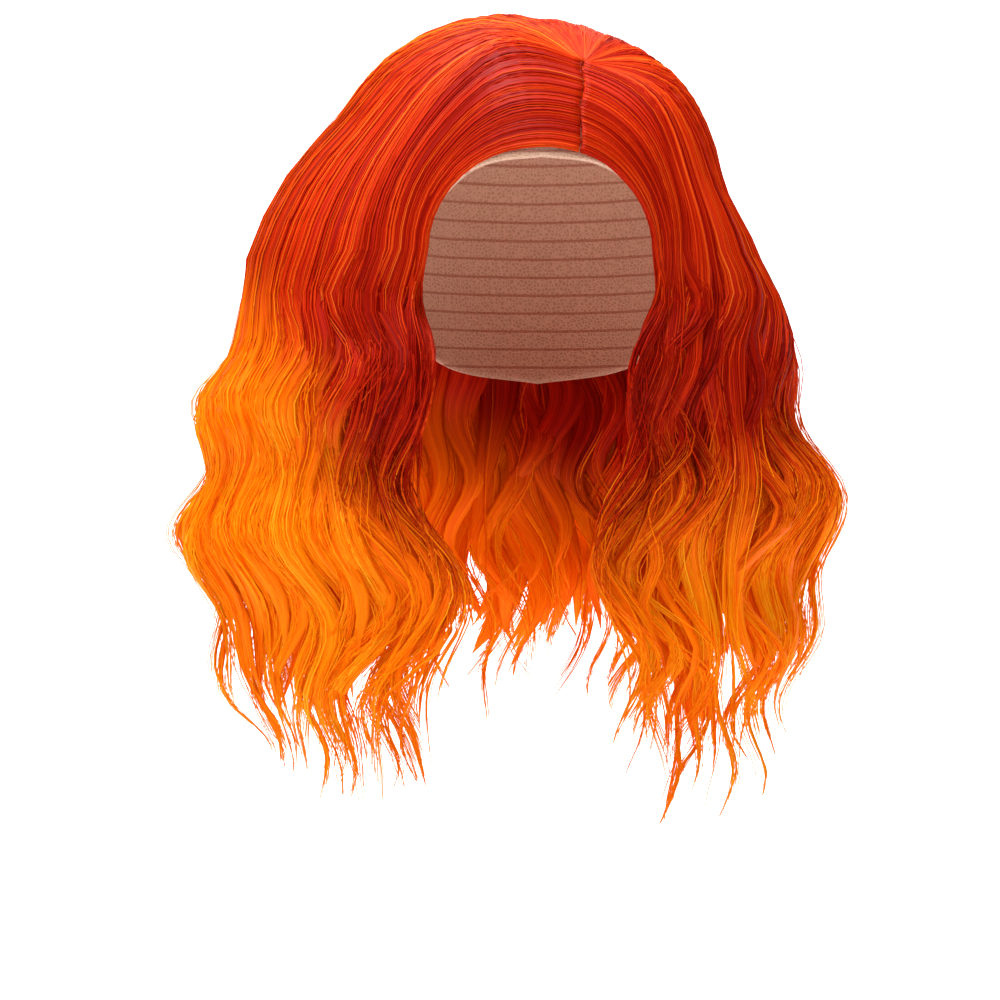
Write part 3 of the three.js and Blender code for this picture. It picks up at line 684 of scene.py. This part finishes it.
def keep_back(across, tier, drop, slack):
    """Places across, crowded together exponentially towards the edges of the opening, so that
    none passes them by more than a little slack down the fall."""
    border = tier["border"] + slack * smooth(drop / 0.06)
    start = tier["edge"] - tier["border"]
    past = np.maximum(np.abs(across) - start, 0)
    held = start + border * (1 - np.exp(-past / border))
    return np.where(past > 0, np.sign(across) * held, across)


def lock_bodies(tier, locks, over_cap, down):
    """The full part of each lock: a lens-shaped section carried down its middle, its height a
    share of its width, that narrows to nothing as a power of the way past its middle."""
    way, share = stations(over_cap, down)
    drop = locks["end"][:, None] * BODY_SHARE * share
    past = taper(share, drop)
    locks = {**locks, "curl": locks["curls"][:, WISPS // 2]}
    middle, half, width, lift = lock_flow(tier, locks, way, drop, past)
    fullness = 1 - BODY_POINT * past**BODY_POWER
    turn = np.arange(BODY_SIDES) * 2 * np.pi / BODY_SIDES
    cos, sin = np.cos(turn), np.sin(turn)
    rings = []
    for k in range(BODY_SIDES):
        place = keep_back(middle + cos[k] * half * fullness, tier, drop, BODY_SLACK)
        angle, azimuth, outer, inner, from_root = tier_faces(tier, place, way, drop)
        room = outer - inner
        bulge = np.minimum(0.24 * width, 0.22 * room) * fullness
        height = layer_height(locks, outer, room) + sin[k] * bulge + lift
        rings.append(hair_point(angle, drop, azimuth, np.maximum(height, BODY_LOWEST)))
    points = np.stack(rings, axis=2)
    streak = np.stack(
        np.broadcast_arrays(turn * 0.006 + locks["tint"][:, None, None], from_root[..., None]), -1
    )
    # The bodies' colour is kept lower in tint than the strands over them: painted shade for the
    # gaps between the strands.
    return points, streak, drop, middle, locks["tint"] * 0.3 + 0.18, 0 * locks["tint"]


def lock_strands(draw, tier, locks, owner, over_cap, down, start=0.0):
    """Strands of the locks: each keeps to its place in the lock's section, drifts a little to and
    fro in it, and gathers with its neighbours into one of the lock's wisps, which has a curl and
    a length of its own."""
    count = len(owner)
    own = {name: values[owner] for name, values in locks.items()}
    aside = draw.uniform(-1, 1, count)
    wisp = np.minimum(np.floor((aside + 1) / 2 * WISPS), WISPS - 1).astype(int)
    own["curl"] = locks["curls"][owner, wisp]
    way, share = stations(over_cap, down, start)
    ahead = draw.uniform(-0.03, 0.03, count)[:, None]
    way = np.where(way < 1, way * (1 + ahead * (1 - way) * 4), 1.0)
    ragged = locks["reaches"][owner, wisp] + draw.uniform(-0.06, 0.02, count)
    end = np.minimum(own["end"] * (1 + ragged), HAIR_DROP * STRAND_LONGEST)
    drop = end[:, None] * share
    past = taper(share, drop)
    out = smooth((share - start) / 0.12) if start else 1.0
    middle, half, width, lift = lock_flow(tier, own, way, drop, past)
    tips = (wisp + 0.5) / WISPS * 2 - 1 + draw.uniform(-0.07, 0.07, count)
    drift = draw.uniform(*STRAND_DRIFT, count)[:, None] * np.sin(
        drop * draw.uniform(40, 90, count)[:, None] + draw.uniform(0, 6.28, count)[:, None]
    )
    gather = (GATHERING * smooth((share - 0.4) / 0.6))[None, :]
    along = aside[:, None] + (tips - aside)[:, None] * gather + drift * (1 - way * 0.3)
    narrow = 1 - 0.3 * past**2
    side = np.where(draw.uniform(0, 1, count) < tier["inner_share"], -1.0, 1.0)
    bow = np.sqrt(np.maximum(1 - aside**2, 0)) * side + draw.uniform(-0.2, 0.15, count)
    loose = np.where(draw.uniform(0, 1, count) < LOOSE_SHARE, draw.uniform(*LOOSE_LIFT, count), 0)
    stray = loose * np.sign(draw.uniform(-0.25, 1, count))
    place = keep_back(middle + along * half * narrow, tier, drop, STRAND_SLACK)
    angle, azimuth, outer, inner, from_root = tier_faces(tier, place, way, drop)
    room = outer - inner
    bulge = np.minimum(0.27 * width, 0.26 * room) * (1 - 0.8 * past**2) + 0.0001
    height = layer_height(own, outer, room) + bow[:, None] * bulge + lift
    height = height + stray[:, None] * smooth((drop + 0.01) / 0.1) - 0.0016 * (1 - out)
    points = hair_point(angle, drop, azimuth, np.maximum(height, STRAND_LOWEST))
    thickness = draw.uniform(*STRAND_THICKNESS, count)[:, None]
    radius = thickness * (1 - 0.5 * past**5) * (0.2 + 0.8 * out)
    corners = tube_corners(points, tier["strand"] * radius, STRAND_SIDES)
    streak = np.stack(
        np.broadcast_arrays(draw.uniform(0, 9, count)[:, None, None], from_root[..., None]), -1
    )
    tint = own["tint"] * 0.32 + 0.12 + draw.uniform(0, 0.4, count)
    jitter = draw.normal(0, 0.016, count)
    return corners, streak, drop, place, tint, jitter


def hair_material(name):
    """Fibre that runs from red-orange to orange by the attribute ombre and from dark to light by
    the attribute tint, with fine streaks along it. The tint holds tone that differs at random and
    painted shade, and a faint glow of the fibre's own colour is painted light that lifts its shade."""
    material, wire, shader = new_material(name)
    ombre = wire.node("ShaderNodeAttribute", {"attribute_name": "ombre"}, output=2)
    tint = wire.node("ShaderNodeAttribute", {"attribute_name": "tint"}, output=2)
    along = wire.node("ShaderNodeUVMap", {"uv_map": "fibre"})
    fine = wire.node("ShaderNodeMapping", {}, {"Vector": along, "Scale": (2100.0, 12.0, 1.0)})
    coarse = wire.node("ShaderNodeMapping", {}, {"Vector": along, "Scale": (420.0, 5.0, 1.0)})
    fibre = noise(fine, 1.0, 3.0)
    shade = tint + (fibre - 0.5) * 1.1 + (noise(coarse, 1.0) - 0.5) * 0.7
    roots = wire.node("ShaderNodeValToRGB", {"stops": [
        (0.0, rgb(112, 4, 0)), (0.25, rgb(160, 16, 1)), (0.5, rgb(204, 44, 4)),
        (0.75, rgb(230, 82, 16)), (1.0, rgb(246, 126, 44)),
    ]}, {"Fac": shade})
    ends = wire.node("ShaderNodeValToRGB", {"stops": [
        (0.0, rgb(234, 84, 0)), (0.3, rgb(247, 112, 0)), (0.65, rgb(253, 144, 5)),
        (1.0, rgb(255, 178, 34)),
    ]}, {"Fac": shade})
    colour = blend(ombre, roots, ends)
    grain = wire.node("ShaderNodeBump", {}, {"Strength": 0.4, "Distance": 0.0003, "Height": fibre})
    wire.tree.links.new(colour.socket, shader.inputs["Base Color"])
    wire.tree.links.new(grain.socket, shader.inputs["Normal"])
    # Painted glow: the fibre also gives off a faint light of its own colour, which lifts its shade.
    wire.tree.links.new(colour.socket, shader.inputs["Emission Color"])
    shader.inputs["Emission Strength"].default_value = FIBRE_GLOW
    shader.inputs["Roughness"].default_value = 0.46
    shader.inputs["Specular IOR Level"].default_value = 0.06
    return material


def dress_sheet(name, node, tier, first, last, layers, whole, lower, seed):
    """One sheet of hair as one mesh: its locks' full parts, the whole strands on and round them,
    and the lower strands, which come out from under those part of the way down."""
    draw = np.random.default_rng(seed)
    locks = settle_locks(draw, tier, first, last, layers)
    parts = [lock_bodies(tier, locks, tier["body_over"], tier["body_down"])]
    chance = 1.25 - locks["depth"]
    owner = draw.choice(len(chance), whole, p=chance / chance.sum())
    parts.append(lock_strands(draw, tier, locks, owner, tier["over_cap"], tier["down"]))
    if lower:
        chance = chance * locks["half"]
        owner = draw.choice(len(chance), lower, p=chance / chance.sum())
        fallen = {**tier, "lead": LOWER_LEAD}
        parts.append(lock_strands(draw, fallen, locks, owner, 0, LOWER_STATIONS, LOWER_START))
    points, faces, streaks, ombre, tint = [], [], [], [], []
    offset = 0
    for rings, streak, drop, place, hue, early in parts:
        count, rows, sides = rings.shape[:3]
        skin, caps = tube_faces(count, rows, sides)
        faces += [skin + offset, caps + offset]
        points.append(rings.reshape(-1, 3))
        full = np.broadcast_to(streak, (count, rows, sides, 2))
        streaks.append(full.reshape(-1, 2))
        start = follow(OMBRE, "across", "drop", place) + tier["ombre_later"]
        turned = smooth((drop - start + early[:, None]) / OMBRE_SPREAD + 0.5)
        ombre.append(np.repeat(turned.ravel(), sides))
        # Painted shade: down the fall the roots' tint is lowered towards the edges of the face
        # opening, and by the tier's own painted shade for the hair underneath.
        shade = follow(OMBRE, "across", "shade", place) * smooth(drop / 0.05) * (1 - turned)
        hue = hue[:, None] - tier["painted_shade"] - shade
        tint.append(np.repeat(hue.ravel(), sides))
        offset += count * rows * sides
    piece = new_piece(name, np.concatenate(points), faces, tier["material"])
    loops = np.empty(len(piece.data.loops), np.int32)
    piece.data.loops.foreach_get("vertex_index", loops)
    uv = piece.data.uv_layers.new(name="fibre")
    uv.uv.foreach_set("vector", np.concatenate(streaks)[loops].astype(np.float32).ravel())
    for title, values in (("ombre", ombre), ("tint", tint)):
        layer = piece.data.attributes.new(title, "FLOAT", "POINT")
        layer.data.foreach_set("value", np.concatenate(values).astype(np.float32))
    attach(piece, "root")
    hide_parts(node)


# Painted shade: the under tier's colour is lowered in tint by 0.2 for the shade it lies in beneath
# the hair over it.
under_tier = {
    "spots": row_spots(84), "edge": 0.88, "outer": 0.25, "share": 0.2, "thickest": 0.008,
    "shorter": 0.06, "seat": 0.0, "lies_by_face": 0.0, "inner_share": 0.5, "strand": 0.00036,
    "rise": ROW_RISE, "root_edge": FACE_EDGE, "lead": 0.0, "crowding": 1.0, "border": 0.035,
    "ombre_later": 0.035, "painted_shade": 0.2, "body_over": 3, "body_down": 24, "over_cap": 3,
    "down": 27,
    "material": hair_material("under_hair_fibre"),
}
UNDER_SHEETS = [
    ("left", -0.88, -0.352, 7, 60), ("nape", -0.352, 0.352, 13, 210), ("right", 0.352, 0.88, 7, 60),
]
for seed, (side, first, last, locks, strands) in enumerate(UNDER_SHEETS):
    layers = [(locks, 0.25), (locks - 1, 0.75)]
    dress_sheet(f"under_fringe_{side}", f"under_weft_{side}", under_tier,
                first, last, layers, strands, 0, 10 + seed)


# The middle wefts: the same fringes again, sewn on higher, between the under ones and the top
# hair, and a little longer.
# Painted shade: the middle tier's colour is lowered in tint by 0.1 for the shade it lies in beneath
# the top hair.
middle_tier = {
    "spots": row_spots(60), "edge": 0.9, "outer": 0.52, "share": 0.18, "thickest": 0.008,
    "shorter": -0.02, "seat": 0.0, "lies_by_face": 0.0, "inner_share": 0.35, "strand": 0.00036,
    "rise": ROW_RISE, "root_edge": FACE_EDGE, "lead": 0.0, "crowding": 1.0, "border": 0.035,
    "ombre_later": 0.015, "painted_shade": 0.1, "body_over": 3, "body_down": 24, "over_cap": 3,
    "down": 29,
    "material": hair_material("middle_hair_fibre"),
}
MIDDLE_LAYERS = [(6, 0.2), (5, 0.75)]
MIDDLE_SHEETS = [("left", -0.9, -0.245, 80), ("back", -0.245, 0.245, 90), ("right", 0.245, 0.9, 80)]
for seed, (side, first, last, strands) in enumerate(MIDDLE_SHEETS):
    dress_sheet(f"middle_fringe_{side}", f"middle_weft_{side}", middle_tier,
                first, last, MIDDLE_LAYERS, strands, 0, 20 + seed)


# The top hair: knotted one by one through the strip along the parting and sewn round the whorl
# behind it, from where it covers the whole cap.
PARTING_SHARE = 0.09
PARTING_SWEEP = 0.28
WHORL_SPREAD = 0.7
ROOT_GAP = 0.0006
ROOT_SWAY = 0.001
ROOT_WHORL = 0.0007


def parting_spots(across, way, drop):
    """The way of the top hair. On a flat map of the dome its path is a cubic curve: it leaves the
    parting squarely, or the whorl straight out, and ends going straight down."""
    side = np.sign(across)
    from_face = 1 - np.abs(across)
    middle, whorl = PARTING_OFFSET / PER_DEGREE, PARTING_BACK / PER_DEGREE
    front = PARTING_FRONT / PER_DEGREE
    along = np.minimum(from_face / PARTING_SHARE, 1)
    opening = ROOT_GAP * (1 + 0.85 * np.sin(145 * along) * np.sin(68 * along + side))
    middle = middle + ROOT_SWAY * np.sin(4 * np.pi * along) / PER_DEGREE
    turn = np.clip((from_face - PARTING_SHARE) / (1 - PARTING_SHARE), 0, 1) ** WHORL_SPREAD
    round_whorl = from_face > PARTING_SHARE
    right = np.where(round_whorl, ROOT_WHORL * np.cos(turn * np.pi / 2), opening)
    root_right = middle + side * right / PER_DEGREE
    behind = whorl - ROOT_WHORL * np.sin(turn * np.pi / 2) / PER_DEGREE
    root_front = np.where(round_whorl, behind, front + (whorl - front) * along)
    leave = np.radians(90 + 90 * turn)
    level = np.radians(fall_azimuth(across, 0 * drop))
    end_right, end_front = 90 * np.sin(level), 90 * np.cos(level)
    handle = PARTING_SWEEP * np.hypot(end_right - root_right, end_front - root_front)

    def bend(root, outwards, end):
        first, second = root + handle * outwards, end * (1 - handle / 90)
        rest = 1 - way
        start = root * rest**3 + 3 * first * rest**2 * way
        return start + 3 * second * rest * way**2 + end * way**3

    right = bend(root_right, side * np.sin(leave), end_right)
    ahead = bend(root_front, np.cos(leave), end_front)
    over_cap = way < 1
    azimuth = np.where(over_cap, np.degrees(np.arctan2(right, ahead)), fall_azimuth(across, drop))
    return np.where(over_cap, np.hypot(right, ahead), 90.0), azimuth


top_tier = {
    "spots": parting_spots, "edge": 1.0, "outer": 1.0, "share": 0.38, "thickest": 0.011,
    "shorter": 0.0, "seat": STRIP_THICKNESS + 2 * PIECE_GAP, "lies_by_face": 1.0,
    "inner_share": 0.1, "strand": 0.00029, "rise": 0.046, "root_edge": 0.018, "lead": 0.0,
    "crowding": 1.8, "border": 0.012, "ombre_later": 0.0, "painted_shade": 0.0, "body_over": 19,
    "body_down": 22, "over_cap": 14, "down": 26, "material": hair_material("top_hair_fibre"),
}
FRONT_LAYERS = [(14, 0.05), (11, 0.42), (7, 0.85)]
SIDE_LAYERS = [(9, 0.05), (7, 0.42), (5, 0.85)]
TOP_SHEETS = [
    ("left_front", FRONT_LAYERS, 460, 560), ("left_side", SIDE_LAYERS, 360, 460),
    ("back", SIDE_LAYERS, 340, 360), ("right_side", SIDE_LAYERS, 340, 400),
    ("right_front", FRONT_LAYERS, 460, 520),
]
TOP_SHEET_WIDTH = 0.4
for seed, (side, layers, whole, lower) in enumerate(TOP_SHEETS):
    first = -1 + TOP_SHEET_WIDTH * seed
    dress_sheet(f"top_fall_{side}", f"top_hair_{side}", top_tier,
                first, first + TOP_SHEET_WIDTH, layers, whole, lower, 30 + seed)
